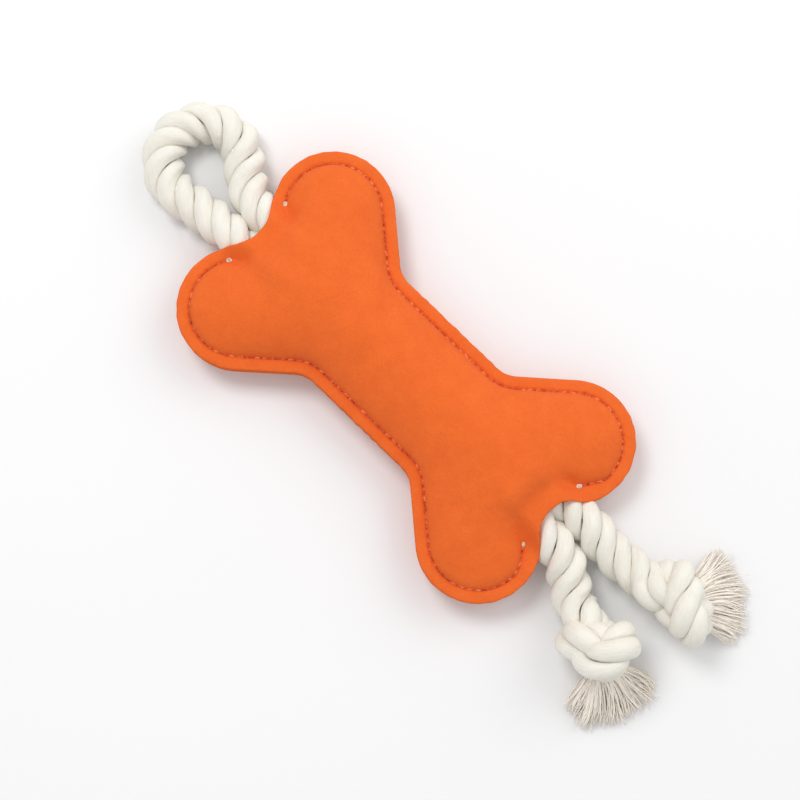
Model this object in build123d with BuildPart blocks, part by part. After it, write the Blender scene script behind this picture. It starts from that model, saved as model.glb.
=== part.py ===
"""Bone-shaped felt training bumper with a rope doubled through it.

Two felt panels are sewn together round a fibre filling. One length of rope is
folded in two and laid through the bone: its fold is a carrying loop at the -X
end, and its two ends are knotted tails at the +X end.

The part lies flat. X runs along the bone towards the tails, Z is up, and the
origin is under the middle of the bone, on the surface that it lies on.
"""

import os
from math import acos, atan2, cos, degrees, hypot, pi, radians, sin, tan

from build123d import *

# Bone outline, in millimetres
lobe_radius = 20.8
lobe_x = 55.8
lobe_y = 22.8
notch_radius = 13.4
shaft_half_width = 23.0
waist_radius = 10.0
waist_x = 20.5

# Felt, seam and filling
felt = 3.0
seam_height = 11.0
bone_height = 26.0
seam_inset = 4.4
puff_inset = 4.9
top_crown_radius = 11.5
bottom_crown_radius = 7.5
filling_gap = 0.2

# Rope
rope_radius = 6.5
run_y = 6.6
run_half_length = 72.2
channel_gap = 0.3
pivot_x = 79.0
ball_radius = 6.4
arc_share = 0.45

# Thread
thread = 0.8
stitch_pitch = 2.8
stitch_gap = 0.2
seam_start_angle = -24.0
tack_angle = -33.0
tack_head = 1.1
tack_shank = 0.4

# Knots, and the fanned ends of the rope beyond them
knot_radius = 13.5
knot_half_height = 12.4
knot_centre_height = 12.7
knot_round = 11.0
fray_inner_radius = 10.0
fray_height = 11.0
fray_floor_gap = 0.3
fray_round = 3.5

# Values that follow from the ones above
notch_x = lobe_x + ((lobe_radius + notch_radius) ** 2 - lobe_y**2) ** 0.5
waist_y = shaft_half_width + waist_radius
notch_angle = degrees(atan2(lobe_y, lobe_x - notch_x))
waist_reach = hypot(lobe_x - waist_x, lobe_y - waist_y)
flare_angle = degrees(
    atan2(lobe_y - waist_y, lobe_x - waist_x)
    + acos(-(lobe_radius + waist_radius) / waist_reach)
)
inner_inset = puff_inset + felt
tunnel_half_height = rope_radius + channel_gap + felt
tunnel_half_width = run_y + tunnel_half_height

# Routes of the rope's free stretches, as corner points of straight runs
loop_route = [
    (-pivot_x, 6.8, 10.0),
    (-86.8, 11.0, 8.2),
    (-94.7, 18.2, 6.9),
    (-103.1, 19.4, 6.8),
    (-110.8, 15.7, 6.7),
    (-115.0, 8.4, 6.7),
    (-114.6, 0.1, 6.7),
    (-109.6, -6.4, 6.7),
    (-101.6, -9.5, 6.8),
    (-90.5, -7.4, 7.6),
    (-pivot_x, -6.6, 10.0),
]
left_tail_route = [
    (pivot_x, -6.8, 11.0),
    (85.2, -10.2, 9.6),
    (90.8, -14.2, 9.2),
    (96.2, -16.8, 10.6),
]
right_tail_route = [
    (pivot_x, 6.6, 10.4),
    (87.0, 5.4, 8.8),
    (95.2, 5.7, 9.0),
    (103.6, 6.8, 11.4),
    (108.6, 7.5, 12.8),
]
left_knot = (108.0, -20.0)
right_knot = (117.0, 8.0)

# Each frayed end's outer radius, and the angles it fans from and to
left_fray = (26.0, -72, 18)
right_fray = (24.0, -4, 96)


def polar(centre, radius, angle):
    """The point at this angle, in degrees, on a circle in the XY plane."""
    turn = radians(angle)
    return (centre[0] + radius * cos(turn), centre[1] + radius * sin(turn))


def side_line(inset, start_angle):
    """Half of the +X, +Y quarter's edge: lobe, flare, waist and shaft."""
    lobe = (lobe_x, lobe_y)
    waist = (waist_x, waist_y)
    lobe_arc = lobe_radius - inset
    waist_arc = waist_radius + inset
    with BuildLine() as side:
        CenterArc(lobe, lobe_arc, start_angle, flare_angle - start_angle)
        Line(
            polar(lobe, lobe_arc, flare_angle),
            polar(waist, waist_arc, flare_angle - 180),
        )
        CenterArc(waist, waist_arc, flare_angle - 180, 90 - flare_angle)
        Line((waist_x, shaft_half_width - inset), (0, shaft_half_width - inset))
    return side.line


def bone_outline(inset):
    """The closed outline of the bone, moved inwards by inset."""
    with BuildLine() as outline:
        CenterArc((notch_x, 0), notch_radius + inset, 180, notch_angle - 180)
        add(side_line(inset, notch_angle - 180))
        mirror(about=Plane.YZ)
        mirror(about=Plane.XZ)
    return outline.line


def rope_channel(half_width, half_height):
    """A flat-oval bar along X at seam height."""
    with BuildPart() as channel:
        with BuildSketch(Plane.YZ):
            with Locations((0, seam_height)):
                SlotOverall(2 * half_width, 2 * half_height)
        extrude(amount=notch_x, both=True)
    return channel.part


def cushion(inset, height, crown_radius, direction):
    """A flat-topped cushion on the seam plane, rounded at its far edge."""
    with BuildPart() as body:
        with BuildSketch(Plane.XY.offset(seam_height)):
            with BuildLine():
                add(bone_outline(inset))
            make_face()
        extrude(amount=direction * height)
        far_face = body.faces().sort_by(Axis.Z)[-1 if direction > 0 else 0]
        fillet(far_face.edges(), crown_radius)
    return body.part


def rope_mouths(direction):
    """The two raised ends of a panel, where it wraps over the doubled rope."""
    with BuildPart() as mouths:
        add(rope_channel(tunnel_half_width, tunnel_half_height))
        with BuildSketch(Plane.XY.offset(seam_height)):
            with BuildLine():
                add(bone_outline(0))
            make_face()
            Rectangle(2 * (lobe_x - lobe_radius), 4 * lobe_y, mode=Mode.SUBTRACT)
        extrude(amount=direction * bone_height, mode=Mode.INTERSECT)
    return mouths.part


def felt_panel(direction, height, crown_radius):
    """One felt panel: flat seam allowance, puffed middle and rope mouths."""
    with BuildPart() as panel:
        with BuildSketch(Plane.XY.offset(seam_height)):
            with BuildLine():
                add(bone_outline(0))
            make_face()
        extrude(amount=direction * felt)
        add(cushion(puff_inset, height, crown_radius, direction))
        add(rope_mouths(direction))
        add(
            cushion(inner_inset, height - felt, crown_radius - felt, direction),
            mode=Mode.SUBTRACT,
        )
        add(
            rope_channel(
                run_y + rope_radius + channel_gap, rope_radius + channel_gap
            ),
            mode=Mode.SUBTRACT,
        )
    return panel.part


def fibre_filling():
    """The stuffing between the panels, packed round the doubled rope."""
    top = bone_height - seam_height - felt - filling_gap
    bottom = seam_height - felt - filling_gap
    inset = inner_inset + filling_gap
    gap = channel_gap + filling_gap
    with BuildPart() as filling:
        add(cushion(inset, top, top_crown_radius - felt - filling_gap, 1))
        add(cushion(inset, bottom, bottom_crown_radius - felt - filling_gap, -1))
        add(
            rope_channel(run_y + rope_radius + gap, rope_radius + gap),
            mode=Mode.SUBTRACT,
        )
    return filling.part


def stitch(direction):
    """One stitch: a bar on the felt and two legs through it to the seam plane."""
    half = (stitch_pitch - stitch_gap) / 2
    leg = thread / 2
    outer = direction * (felt + thread)
    inner = direction * felt
    with BuildPart() as staple:
        with BuildSketch(Plane.XZ):
            with BuildLine():
                Polyline(
                    (-half, 0),
                    (-half, outer),
                    (half, outer),
                    (half, 0),
                    (half - leg, 0),
                    (half - leg, inner),
                    (leg - half, inner),
                    (leg - half, 0),
                    close=True,
                )
            make_face()
        extrude(amount=thread / 2, both=True)
    return staple.part


def seam_places(side):
    """Where the stitches of one seam go, side being +1 for +Y and -1 for -Y."""
    with BuildLine() as seam:
        add(side_line(seam_inset, seam_start_angle))
        mirror(about=Plane.YZ)
    path = Wire(seam.edges())
    count = int(path.length / stitch_pitch)
    places = []
    for number in range(count):
        share = (number + 0.5) / count
        spot = path.position_at(share)
        along = path.tangent_at(share)
        origin = (spot.X, side * spot.Y, seam_height)
        places.append(Plane(origin, x_dir=(along.X, side * along.Y, 0), z_dir=(0, 0, 1)))
    return places


def seam_thread(side, direction):
    """All the stitches of one thread, as separate solids."""
    one = stitch(direction)
    with BuildPart() as seam:
        with Locations(*seam_places(side)):
            add(one)
    return seam.part


def tack(end, side):
    """A hand-sewn tack that closes a seam beside the rope's mouth."""
    x, y = polar((lobe_x, lobe_y), lobe_radius - seam_inset, tack_angle)
    wall = (y - run_y) / tunnel_half_height
    rise = tunnel_half_height * (1 - min(wall, 1) ** 2) ** 0.5
    with BuildPart() as knotted:
        with Locations((end * x, side * y, seam_height)):
            Cylinder(tack_shank, 2 * rise)
        with Locations(
            (end * x, side * y, seam_height + rise),
            (end * x, side * y, seam_height - rise),
        ):
            Sphere(tack_head)
    return knotted.part


def corner_radii(route):
    """The arc radius at each inner corner of a route, and the turns."""
    points = [Vector(*point) for point in route]
    runs = [after - before for before, after in zip(points, points[1:])]
    radii = []
    for before, after in zip(runs, runs[1:]):
        turn = before.get_angle(after)
        shorter = min(before.length, after.length)
        radii.append(arc_share * shorter / tan(radians(turn) / 2))
    return radii


def free_rope(name, route, balls):
    """A rope along a route, with a ball at each end that turns on the bone."""
    radii = corner_radii(route)
    with BuildPart() as rope:
        with BuildLine():
            centre_line = FilletPolyline(*route, radius=radii)
        with BuildSketch(centre_line ^ 0):
            Circle(rope_radius)
        sweep()
        swept = rope.part.volume
        with Locations(*balls):
            Sphere(ball_radius)
    length = centre_line.length
    full = pi * rope_radius**2 * length
    print(name, "length", round(length, 1), "radii", [round(r, 1) for r in radii])
    print(name, "swept volume over section x length", round(swept / full, 4))
    return rope.part


def rope_knot(centre):
    """The outer shape of an overhand knot, as a flattened ball."""
    middle = (centre[0], centre[1], knot_centre_height)
    with BuildPart() as knot:
        with BuildSketch(Plane(middle, x_dir=(1, 0, 0), z_dir=(0, -1, 0))):
            RectangleRounded(2 * knot_radius, 2 * knot_half_height, knot_round)
            with Locations((-knot_radius, 0)):
                Rectangle(2 * knot_radius, 4 * knot_half_height, mode=Mode.SUBTRACT)
        revolve(axis=Axis(middle, (0, 0, 1)))
    return knot.part


def frayed_end(centre, outer_radius, start_angle, end_angle):
    """The fan of loose fibre beyond a knot."""
    sweep_angle = end_angle - start_angle
    with BuildPart() as fray:
        with BuildSketch(Plane.XY.offset(fray_floor_gap)):
            with BuildLine():
                CenterArc(centre, outer_radius, start_angle, sweep_angle)
                Line(
                    polar(centre, outer_radius, end_angle),
                    polar(centre, fray_inner_radius, end_angle),
                )
                CenterArc(centre, fray_inner_radius, end_angle, -sweep_angle)
                Line(
                    polar(centre, fray_inner_radius, start_angle),
                    polar(centre, outer_radius, start_angle),
                )
            make_face()
        extrude(amount=fray_height)
        fillet(fray.faces().sort_by(Axis.Z)[-1].edges(), fray_round)
    return fray.part


def inner_run(side):
    """One of the two stretches of rope that lie inside the bone."""
    with BuildPart() as run:
        with BuildSketch(Plane.YZ):
            with Locations((side * run_y, seam_height)):
                Circle(rope_radius)
        extrude(amount=run_half_length, both=True)
    return run.part


def save(part, name):
    part.label = name
    export_step(part, f"parts/{name}.step")


os.makedirs("parts", exist_ok=True)

save(felt_panel(1, bone_height - seam_height, top_crown_radius), "top_panel")
save(felt_panel(-1, seam_height, bottom_crown_radius), "bottom_panel")
save(fibre_filling(), "filling")

for side, side_name in ((-1, "left"), (1, "right")):
    save(seam_thread(side, 1), f"needle_thread_{side_name}")
    save(seam_thread(side, -1), f"bobbin_thread_{side_name}")
    save(tack(-1, side), f"tack_loop_{side_name}")
    save(tack(1, side), f"tack_tail_{side_name}")
    save(inner_run(side), f"rope_run_{side_name}")

save(
    free_rope("rope_loop", loop_route, (loop_route[0], loop_route[-1])), "rope_loop"
)
save(
    free_rope("rope_tail_left", left_tail_route, left_tail_route[:1]),
    "rope_tail_left",
)
save(
    free_rope("rope_tail_right", right_tail_route, right_tail_route[:1]),
    "rope_tail_right",
)
save(rope_knot(left_knot), "knot_left")
save(rope_knot(right_knot), "knot_right")
save(frayed_end(left_knot, *left_fray), "frayed_end_left")
save(frayed_end(right_knot, *right_fray), "frayed_end_right")
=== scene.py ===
"""Looks of the bone-shaped felt bumper with a doubled rope.

Lengths are in millimetres in the constants and the shape functions, as in the
CAD model, and become metres where meshes are made.
"""

import math

import bpy
import numpy as np
from mathutils import Matrix, Vector
from mathutils.geometry import delaunay_2d_cdt
from mathutils.kdtree import KDTree


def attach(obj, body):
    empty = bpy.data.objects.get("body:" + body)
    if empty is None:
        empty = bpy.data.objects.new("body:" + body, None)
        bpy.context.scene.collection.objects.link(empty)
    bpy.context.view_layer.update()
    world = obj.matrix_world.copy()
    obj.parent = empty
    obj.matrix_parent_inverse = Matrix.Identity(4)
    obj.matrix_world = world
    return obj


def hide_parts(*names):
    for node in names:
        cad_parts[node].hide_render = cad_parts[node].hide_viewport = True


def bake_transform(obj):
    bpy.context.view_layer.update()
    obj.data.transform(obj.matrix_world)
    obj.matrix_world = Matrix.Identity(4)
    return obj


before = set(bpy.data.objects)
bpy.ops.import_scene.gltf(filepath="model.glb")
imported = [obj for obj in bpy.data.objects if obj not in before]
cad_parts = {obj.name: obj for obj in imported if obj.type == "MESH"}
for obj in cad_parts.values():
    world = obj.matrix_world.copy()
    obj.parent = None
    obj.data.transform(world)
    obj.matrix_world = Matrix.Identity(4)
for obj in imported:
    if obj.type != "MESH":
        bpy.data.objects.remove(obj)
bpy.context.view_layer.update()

MM = 0.001

# Bone outline, as in the CAD model
LOBE_RADIUS = 20.8
LOBE = (55.8, 22.8)
NOTCH_RADIUS = 13.4
SHAFT_HALF_WIDTH = 23.0
WAIST_RADIUS = 10.0
WAIST_X = 20.5
NOTCH_X = LOBE[0] + math.sqrt((LOBE_RADIUS + NOTCH_RADIUS) ** 2 - LOBE[1] ** 2)
WAIST = (WAIST_X, SHAFT_HALF_WIDTH + WAIST_RADIUS)
NOTCH_ANGLE = math.degrees(math.atan2(LOBE[1], LOBE[0] - NOTCH_X))
FLARE_ANGLE = math.degrees(
    math.atan2(LOBE[1] - WAIST[1], LOBE[0] - WAIST[0])
    + math.acos(
        -(LOBE_RADIUS + WAIST_RADIUS)
        / math.hypot(LOBE[0] - WAIST[0], LOBE[1] - WAIST[1])
    )
)

# Felt, seam and crown
FELT = 3.0
SEAM_HEIGHT = 11.0
SEAM_INSET = 4.4
CROWN = 12.0
UNDER_CROWN = 8.0
TACK_ANGLE = -35.0
MOUTH_HALF_WIDTH = 13.7
MOUTH_RISE = 6.4
STITCH_PITCH = 2.8
FINE_STEP = 0.2
EDGE_STEP = 0.25
DRAWN_IN = 2.0
DRAWN_FADE = 9.0

# Rope
ROPE = 13.0
FREE_ROPE = 14.2
MOUTH_ROPE = 12.8
KNOT_ROPE = 13.2
END_ROPE = 8.5
KNOT_SPACING = 5.9
ROPE_PITCH = 25.0
STRANDS = 3


# ---- camera

CAMERA_TURN = math.radians(44.17)
CAMERA_ELEVATION = math.radians(83.5)
CAMERA_DISTANCE = 0.632
CAMERA_LENS = 85
CAMERA_TARGET = Vector((0.0045, -0.0071, SEAM_HEIGHT * MM))


def picture_axes():
    """Which way the picture's right and top edges lie on the floor."""
    right = Vector((math.cos(CAMERA_TURN), math.sin(CAMERA_TURN), 0))
    top = Vector((-math.sin(CAMERA_TURN), math.cos(CAMERA_TURN), 0))
    return right, top


def make_camera():
    """The camera, looking almost straight down."""
    right, top = picture_axes()
    back = (
        math.sin(CAMERA_ELEVATION) * Vector((0, 0, 1))
        - math.cos(CAMERA_ELEVATION) * top
    )
    data = bpy.data.cameras.new("camera")
    data.lens = CAMERA_LENS
    camera = bpy.data.objects.new("camera", data)
    bpy.context.collection.objects.link(camera)
    turn = Matrix((right, back.cross(right), back)).transposed().to_4x4()
    camera.matrix_world = (
        Matrix.Translation(CAMERA_TARGET + CAMERA_DISTANCE * back) @ turn
    )
    bpy.context.scene.camera = camera


# ---- materials

# Dark and light tones of the threads, mixed at random: the seam thread's dark tone is painted
# shade along the stitch line and its light tone painted glints
SEAM_THREAD_SHADE_AND_GLINT_TONES = ((0.50, 0.055, 0.016), (0.95, 0.26, 0.10))
TACK_THREAD_TONES = ((0.62, 0.48, 0.33), (0.93, 0.87, 0.78))


class Nodes:
    """A new material's node tree, with short ways to add and link nodes."""

    def __init__(self, name, roughness, sheen=0.0):
        self.material = bpy.data.materials.new(name)
        self.material.use_nodes = True
        self.tree = self.material.node_tree
        self.shader = self.tree.nodes["Principled BSDF"]
        self.shader.inputs["Roughness"].default_value = roughness
        self.shader.inputs["Specular IOR Level"].default_value = 0.2
        self.shader.inputs["Sheen Weight"].default_value = sheen
        self.shader.inputs["Sheen Roughness"].default_value = 0.5

    def add(self, kind, **settings):
        node = self.tree.nodes.new(kind)
        for key, value in settings.items():
            if key in node.inputs:
                node.inputs[key].default_value = value
            else:
                setattr(node, key, value)
        return node

    def link(self, source, target):
        self.tree.links.new(source, target)

    def place(self, scale=(1, 1, 1), uv=False):
        """Object or UV coordinates, stretched by scale."""
        where = self.add("ShaderNodeTexCoord")
        stretch = self.add("ShaderNodeMapping")
        stretch.inputs["Scale"].default_value = scale
        self.link(where.outputs["UV" if uv else "Object"], stretch.inputs["Vector"])
        return stretch.outputs["Vector"]

    def noise(self, place, scale, detail=2.0, roughness=0.5):
        node = self.add(
            "ShaderNodeTexNoise", Scale=scale, Detail=detail, Roughness=roughness
        )
        self.link(place, node.inputs["Vector"])
        return node.outputs["Fac"]

    def ramp(self, value, stops):
        """A colour ramp: stops are (position, linear colour)."""
        node = self.add("ShaderNodeValToRGB")
        elements = node.color_ramp.elements
        for element, (position, colour) in zip(elements, (stops[0], stops[-1])):
            element.position = position
            element.color = (*colour, 1)
        for position, colour in stops[1:-1]:
            elements.new(position).color = (*colour, 1)
        self.link(value, node.inputs["Fac"])
        return node.outputs["Color"]

    def mix(self, kind, share, first, second):
        node = self.add("ShaderNodeMix", data_type="RGBA", blend_type=kind)
        node.inputs["Factor"].default_value = share
        self.link(first, node.inputs["A"])
        self.link(second, node.inputs["B"])
        return node.outputs["Result"]

    def bump(self, height, strength, distance, under=None):
        node = self.add("ShaderNodeBump", Strength=strength, Distance=distance)
        self.link(height, node.inputs["Height"])
        if under:
            self.link(under, node.inputs["Normal"])
        return node.outputs["Normal"]

    def finish(self, colour, normal):
        self.link(colour, self.shader.inputs["Base Color"])
        self.link(normal, self.shader.inputs["Normal"])
        return self.material


def shade(colour, factor):
    """A colour made darker or lighter, with no channel above 1."""
    return tuple(min(1.0, channel * factor) for channel in colour)


def felt_material():
    """Orange wool felt: fine fibre tones, soft patches, fuzz and small lumps."""
    nodes = Nodes("orange_felt", 0.95, sheen=0.08)
    nodes.shader.inputs["Sheen Tint"].default_value = (1.0, 0.55, 0.35, 1)
    orange = (0.84, 0.150, 0.025)
    place = nodes.place()
    fibre = nodes.noise(place, 1500, 4, 0.7)
    mottle = nodes.noise(place, 160, 3, 0.6)
    tone = nodes.ramp(
        fibre, [(0.25, shade(orange, 0.90)), (0.5, orange), (0.8, shade(orange, 1.05))]
    )
    patch = nodes.ramp(mottle, [(0.3, (0.93, 0.87, 0.84)), (0.7, (1, 1, 1))])
    colour = nodes.mix("MULTIPLY", 0.9, tone, patch)
    fuzz = nodes.bump(nodes.noise(place, 2600, 3, 0.7), 0.5, 0.0004)
    lumps = nodes.bump(nodes.noise(place, 420, 3, 0.6), 0.5, 0.0006, fuzz)
    return nodes.finish(colour, lumps)


def thread_material(name, dark, light):
    """Thread in two tones mixed at random, for the seams and for the tacks; on the seams
    these are painted shade and painted glints.
    """
    nodes = Nodes(name, 0.6, sheen=0.1)
    place = nodes.place()
    tone = nodes.ramp(nodes.noise(place, 420, 3, 0.7), [(0.42, dark), (0.62, light)])
    return nodes.finish(tone, nodes.bump(nodes.noise(place, 4200, 2), 0.5, 0.0002))


def rope_material():
    """Cotton strands: fine yarns along the strand, read from its UV map."""
    nodes = Nodes("cotton_rope", 0.9, sheen=0.2)
    cotton = (0.90, 0.875, 0.80)
    along = nodes.place((180, 26, 1), uv=True)
    yarn = nodes.noise(along, 1.0, 4, 0.65)
    soft = nodes.noise(nodes.place(), 130, 3, 0.6)
    tone = nodes.ramp(yarn, [(0.25, shade(cotton, 0.92)), (0.6, cotton)])
    patch = nodes.ramp(soft, [(0.3, (0.965, 0.95, 0.925)), (0.7, (1, 1, 1))])
    colour = nodes.mix("MULTIPLY", 1.0, tone, patch)
    fibre = nodes.bump(nodes.noise(nodes.place(), 2600, 3, 0.7), 0.25, 0.0003)
    return nodes.finish(colour, nodes.bump(yarn, 0.55, 0.0006, fibre))


def fray_material():
    """Loose cotton, a little warmer in tone than the laid rope."""
    nodes = Nodes("frayed_cotton", 0.92, sheen=0.3)
    cotton = (0.97, 0.90, 0.81)
    tone = nodes.ramp(
        nodes.noise(nodes.place(), 700, 3, 0.6), [(0.3, shade(cotton, 0.90)), (0.6, cotton)]
    )
    return nodes.finish(tone, nodes.bump(nodes.noise(nodes.place(), 3000, 2), 0.3, 0.0002))


def filling_material():
    """White polyester fibre."""
    nodes = Nodes("fibre_filling", 0.95, sheen=0.2)
    place = nodes.place()
    tone = nodes.ramp(
        nodes.noise(place, 300, 4, 0.7), [(0.3, (0.7, 0.7, 0.68)), (0.7, (0.88, 0.88, 0.86))]
    )
    return nodes.finish(tone, nodes.bump(nodes.noise(place, 700, 4), 0.8, 0.001))


def floor_material():
    """A pale, almost even floor."""
    nodes = Nodes("pale_floor", 0.85)
    stops = [(0.2, (0.86, 0.86, 0.865)), (0.8, (0.88, 0.88, 0.885))]
    tone = nodes.ramp(nodes.noise(nodes.place(), 3, 2), stops)
    return nodes.finish(tone, nodes.bump(nodes.noise(nodes.place(), 900, 2), 0.02, 0.0002))


# ---- lines and meshes

# Points kept of each spline span
SPLINE_STEPS = 16

# Waves in a random field, and the range of their sizes
WAVES = 14
WAVE_SIZES = (0.6, 1.5)


def mesh_object(name, points, faces, material):
    """A mesh piece from points in millimetres."""
    mesh = bpy.data.meshes.new(name)
    mesh.from_pydata((np.asarray(points) * MM).tolist(), [], faces)
    mesh.materials.append(material)
    mesh.shade_smooth()
    mesh.update()
    piece = bpy.data.objects.new(name, mesh)
    bpy.context.collection.objects.link(piece)
    return piece


def grid_faces(rows, columns, first=0):
    """Quads of a tube whose rows are closed rings, with closed ends."""
    faces = []
    for row in range(rows - 1):
        for column in range(columns):
            after = (column + 1) % columns
            a = first + row * columns
            b = a + columns
            faces.append((a + column, a + after, b + after, b + column))
    faces.append(tuple(first + column for column in reversed(range(columns))))
    faces.append(tuple(first + (rows - 1) * columns + column for column in range(columns)))
    return faces


def tube(line, radius, sides, taper=None):
    """Points and faces of a round tube along a line; taper scales each ring."""
    line = np.asarray(line, float)
    _, normals, binormals = carried_frames(line)
    turns = np.linspace(0, 2 * math.pi, sides, endpoint=False)
    sizes = radius * (np.ones(len(line)) if taper is None else taper)
    ring = (
        np.cos(turns)[None, :, None] * normals[:, None, :]
        + np.sin(turns)[None, :, None] * binormals[:, None, :]
    )
    points = line[:, None, :] + sizes[:, None, None] * ring
    return points.reshape(-1, 3), grid_faces(len(line), sides)


def joined(name, parts, material):
    """One mesh piece from several (points, faces)."""
    points, faces, first = [], [], 0
    for part_points, part_faces in parts:
        points.append(part_points)
        faces += [tuple(first + v for v in face) for face in part_faces]
        first += len(part_points)
    return mesh_object(name, np.concatenate(points), faces, material)


def resample(points, step):
    """Points along a polyline at even steps, with their arc lengths."""
    points = np.asarray(points, float)
    lengths = np.linalg.norm(np.diff(points, axis=0), axis=1)
    arc = np.concatenate([[0], np.cumsum(lengths)])
    count = max(2, int(round(arc[-1] / step)) + 1)
    places = np.linspace(0, arc[-1], count)
    even = np.stack([np.interp(places, arc, column) for column in points.T], 1)
    return even, places


def carried_frames(points):
    """Tangents and a pair of normals carried along a line without twist."""
    tangents = np.gradient(points, axis=0)
    tangents /= np.linalg.norm(tangents, axis=1, keepdims=True)
    start = np.cross(tangents[0], (0.0, 0.0, 1.0))
    if np.linalg.norm(start) < 0.1:
        start = np.cross(tangents[0], (0.0, 1.0, 0.0))
    normals = [start / np.linalg.norm(start)]
    for tangent in tangents[1:]:
        normal = normals[-1] - tangent * np.dot(normals[-1], tangent)
        normals.append(normal / np.linalg.norm(normal))
    normals = np.array(normals)
    return tangents, normals, np.cross(tangents, normals)


def nurbs_line(points, name):
    """Points read from a smooth NURBS spline through a route, in millimetres."""
    curve = bpy.data.curves.new(name, "CURVE")
    curve.dimensions = "3D"
    spline = curve.splines.new("NURBS")
    spline.points.add(len(points) - 1)
    for control, point in zip(spline.points, points):
        control.co = (*(Vector(point) * MM), 1)
    spline.order_u = 3
    spline.use_endpoint_u = True
    spline.resolution_u = SPLINE_STEPS
    holder = bpy.data.objects.new(name, curve)
    mesh = bpy.data.meshes.new_from_object(holder)
    line = np.array([tuple(vertex.co) for vertex in mesh.vertices]) / MM
    bpy.data.objects.remove(holder)
    bpy.data.meshes.remove(mesh)
    bpy.data.curves.remove(curve)
    return line


def smooth_step(value):
    """0 to 1 with soft ends, for a value from 0 to 1."""
    value = np.clip(value, 0, 1)
    return value * value * (3 - 2 * value)


def smooth_noise(length, step, seed):
    """Slow random wandering between -1 and 1 along a line."""
    draws = np.random.default_rng(seed).uniform(-1, 1, int(length / step) + 4)
    knots = np.arange(len(draws)) * step

    def value(place):
        position = np.asarray(place) / step
        index = np.clip(position.astype(int), 0, len(draws) - 2)
        share = position - index
        share = share * share * (3 - 2 * share)
        return draws[index] * (1 - share) + draws[index + 1] * share

    return value


def wave_field(seed, scale):
    """A smooth random field over the plane, about -1 to 1."""
    draw = np.random.default_rng(seed)
    ways = draw.uniform(0, 2 * math.pi, WAVES)
    sizes = draw.uniform(*WAVE_SIZES, WAVES) / scale
    phases = draw.uniform(0, 2 * math.pi, WAVES)

    def value(x, y):
        total = 0
        for way, size, phase in zip(ways, sizes, phases):
            along = x * math.cos(way) + y * math.sin(way)
            total = total + np.sin(2 * math.pi * size * along + phase)
        return total / math.sqrt(WAVES)

    return value


# ---- laid rope

# A strand across a rope of diameter 1, packed within WEDGE either side of its middle
STRAND_SIDES = 20
STRAND_STEP = 0.8
STRAND_OFFSET = 0.205
STRAND_SIZE = 0.32
STRAND_CORE = 0.02
WEDGE = math.radians(58.5)

# How unevenly the strands are laid, and over what lengths
WANDER_LENGTH = 9.0
WANDER_ANGLE = 0.10
SWELL_LENGTH = 6.0
SWELL_SHARE = 0.025

# The rope presses no lower than this
FLOOR_LIFT = 0.05

# The yarns on a strand: distance round it and their slant; one UV unit is 100 mm
YARN_GIRTH = 22.0
YARN_SLANT = 0.55
UV_PER_MM = 0.01


def strand_section():
    """One strand's outline across a rope of diameter 1, packed in its third."""
    outline = []
    for number in range(STRAND_SIDES):
        turn = 2 * math.pi * number / STRAND_SIDES
        x = max(STRAND_OFFSET + STRAND_SIZE * math.cos(turn), STRAND_CORE)
        y = STRAND_SIZE * math.sin(turn)
        reach = x * math.tan(WEDGE)
        outline.append((x, max(-reach, min(reach, y))))
    return np.array(outline)


def rope_strands(name, line, size, material, seed):
    """Three strands laid right-handed round a line; size gives the diameter."""
    centre, arc = resample(line, STRAND_STEP)
    _, normals, sides = carried_frames(centre)
    section = strand_section()
    points, faces = [], []
    for strand in range(STRANDS):
        wander = smooth_noise(arc[-1] + 1, WANDER_LENGTH, seed * 10 + strand)
        swell = smooth_noise(arc[-1] + 1, SWELL_LENGTH, seed * 10 + strand + 5)
        first = len(points)
        for k, place in enumerate(arc):
            turns = place / ROPE_PITCH + strand / STRANDS
            angle = 2 * math.pi * turns + WANDER_ANGLE * wander(place)
            diameter = size(place) * (1 + SWELL_SHARE * swell(place))
            across = math.cos(angle) * normals[k] + math.sin(angle) * sides[k]
            beside = -math.sin(angle) * normals[k] + math.cos(angle) * sides[k]
            for x, y in section:
                points.append(centre[k] + diameter * (x * across + y * beside))
        faces += grid_faces(len(arc), STRAND_SIDES, first)
    points = np.array(points)
    points[:, 2] = np.maximum(points[:, 2], FLOOR_LIFT)
    piece = mesh_object(name, points, faces, material)
    add_strand_uv(piece, len(arc))
    return piece, centre


def add_strand_uv(piece, rows):
    """UV: round the strand and along it, slanted by the yarns' own twist."""
    layer = piece.data.uv_layers.new(name="yarns")
    for polygon in piece.data.polygons:
        for loop, vertex in zip(polygon.loop_indices, polygon.vertices):
            column = vertex % STRAND_SIDES
            row = (vertex // STRAND_SIDES) % rows
            seam = STRAND_SIDES if column == 0 and is_last_quad(polygon, vertex) else column
            along = row * STRAND_STEP
            around = seam * YARN_GIRTH / STRAND_SIDES + YARN_SLANT * along
            layer.data[loop].uv = (around * UV_PER_MM, along * UV_PER_MM)


def is_last_quad(polygon, vertex):
    """Whether this face closes a ring, so that its first column is also its last."""
    columns = [v % STRAND_SIDES for v in polygon.vertices]
    return len(columns) == 4 and max(columns) == STRAND_SIDES - 1


def swelling(sizes):
    """Rope diameter along a line: (distance, diameter) steps joined smoothly."""

    def size(place):
        value = sizes[0][1]
        for (start, low), (end, high) in zip(sizes[:-1], sizes[1:]):
            value += (high - low) * smooth_step((place - start) / (end - start))
        return value

    return size


def route_length(route):
    """The length of a line, point by point."""
    return sum((Vector(a) - Vector(b)).length for a, b in zip(route[:-1], route[1:]))


# ---- overhand knot

# The loose knot, in rope diameters
KNOT_REACH = 2.25
KNOT_SAMPLES = 1400
KNOT_LENGTH = 0.16
KNOT_WIDTH = 0.75
KNOT_HEIGHT = 0.30
KNOT_STEP = 0.22

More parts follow.
